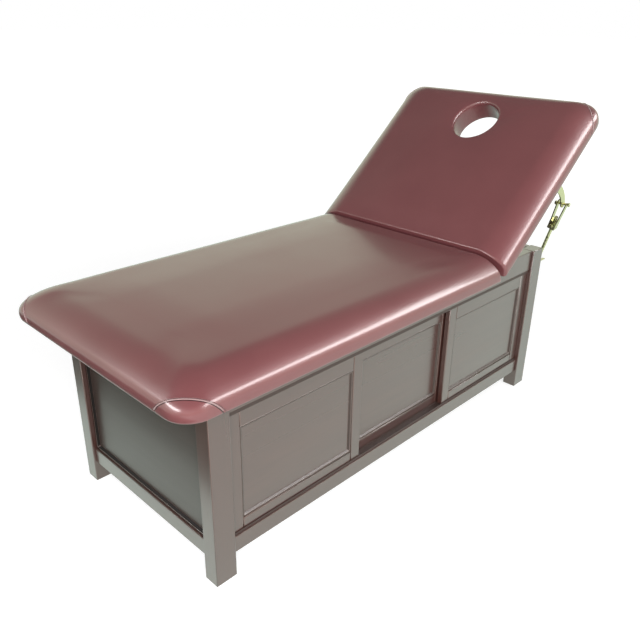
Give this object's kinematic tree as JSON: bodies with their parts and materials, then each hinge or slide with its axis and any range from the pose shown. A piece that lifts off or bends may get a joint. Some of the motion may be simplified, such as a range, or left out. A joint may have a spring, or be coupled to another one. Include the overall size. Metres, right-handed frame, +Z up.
{
  "type": "spa bed with cabinet base",
  "caption": "Spa treatment bed on a framed wooden cabinet with sliding doors; padded seat and a hinged backrest with a face hole, held up by notched prop rods.",
  "frame": {"origin": "on the floor, below the centre of the bounding box with the backrest raised", "axes": "+X from the foot end to the head end, +Y from the door side to the back, +Z up"},
  "size_m": [1.7544, 0.802, 1.0475],
  "materials": {
    "dark_wood": "satin lacquer",
    "board_wood": "satin lacquer",
    "leatherette": "satin coated",
    "plated_steel": "yellow zinc plated",
    "track_plastic": "matte",
    "glide_plastic": "matte"
  },
  "bodies": {
    "cabinet": {"bead_back": "dark_wood", "bead_foot": "dark_wood", "bead_head": "dark_wood", "cabinet_floor": "board_wood", "cabinet_screws": "plated_steel", "deck_board": "board_wood", "hinge_far_fixed_leaf": "plated_steel", "hinge_far_pin": "plated_steel", "hinge_near_fixed_leaf": "plated_steel", "hinge_near_pin": "plated_steel", "keeper_far": "plated_steel", "keeper_near": "plated_steel", "leg_glides": "glide_plastic", "panel_back": "dark_wood", "panel_foot": "dark_wood", "panel_head": "dark_wood", "post_foot_far": "dark_wood", "post_foot_near": "dark_wood", "post_head_far": "dark_wood", "post_head_near": "dark_wood", "rail_back_high": "dark_wood", "rail_back_low": "dark_wood", "rail_foot_high": "dark_wood", "rail_foot_low": "dark_wood", "rail_front_high": "dark_wood", "rail_front_low": "dark_wood", "rail_head_high": "dark_wood", "rail_head_low": "dark_wood", "seat_board": "board_wood", "seat_cushion": "leatherette", "track_high": "track_plastic", "track_low": "track_plastic"},
    "backrest": {"backrest_board": "board_wood", "backrest_cushion": "leatherette", "backrest_screws": "plated_steel", "hinge_far_moving_leaf": "plated_steel", "hinge_near_moving_leaf": "plated_steel", "prop_bracket_far": "plated_steel", "prop_bracket_near": "plated_steel"},
    "prop_near": {"prop_fork_near": "plated_steel", "prop_rod_near": "plated_steel", "prop_pin_near": "plated_steel"},
    "clamp_near": {"clamp_screw_near": "plated_steel"},
    "prop_far": {"prop_fork_far": "plated_steel", "prop_rod_far": "plated_steel", "prop_pin_far": "plated_steel"},
    "clamp_far": {"clamp_screw_far": "plated_steel"},
    "door_left": {"door_left_stiles": "dark_wood", "door_left_rails": "dark_wood", "door_left_panel": "dark_wood", "door_left_bead": "dark_wood"},
    "door_centre": {"door_centre_stiles": "dark_wood", "door_centre_rails": "dark_wood", "door_centre_panel": "dark_wood", "door_centre_bead": "dark_wood"},
    "door_right": {"door_right_stiles": "dark_wood", "door_right_rails": "dark_wood", "door_right_panel": "dark_wood", "door_right_bead": "dark_wood"}
  },
  "joints": [
    {"name": "backrest_hinge", "type": "hinge", "parent": "cabinet", "child": "backrest", "pos_m": [0.33435, 0, 0.5493], "axis": [0, 1, 0], "range_deg": [0, 40]},
    {"name": "door_left_slide", "type": "slide", "parent": "cabinet", "child": "door_left", "axis": [1, 0, 0], "range_m": [0, 0.412]},
    {"name": "door_centre_slide", "type": "slide", "parent": "cabinet", "child": "door_centre", "axis": [1, 0, 0], "range_m": [-0.443, 0.443]},
    {"name": "door_right_slide", "type": "slide", "parent": "cabinet", "child": "door_right", "axis": [1, 0, 0], "range_m": [-0.412, 0]},
    {"name": "prop_near_pivot", "type": "hinge", "parent": "backrest", "child": "prop_near", "pos_m": [0.71915, -0.368, 0.72076], "axis": [0, -1, 0], "range_deg": [0, 112]},
    {"name": "clamp_near_turn", "type": "hinge", "parent": "prop_near", "child": "clamp_near", "pos_m": [0.73332, -0.341, 0.64035], "axis": [0.9848, 0, 0.1736], "range_deg": [0, 360]},
    {"name": "prop_far_pivot", "type": "hinge", "parent": "backrest", "child": "prop_far", "pos_m": [0.71915, 0.368, 0.72076], "axis": [0, -1, 0], "range_deg": [0, 112]},
    {"name": "clamp_far_turn", "type": "hinge", "parent": "prop_far", "child": "clamp_far", "pos_m": [0.73332, 0.341, 0.64035], "axis": [0.9848, 0, 0.1736], "range_deg": [0, 360]}
  ],
  "couplings": [
    {"joint": "prop_near_pivot", "follows": "backrest_hinge", "ratio": 2.8},
    {"joint": "prop_far_pivot", "follows": "backrest_hinge", "ratio": 2.8}
  ]
}
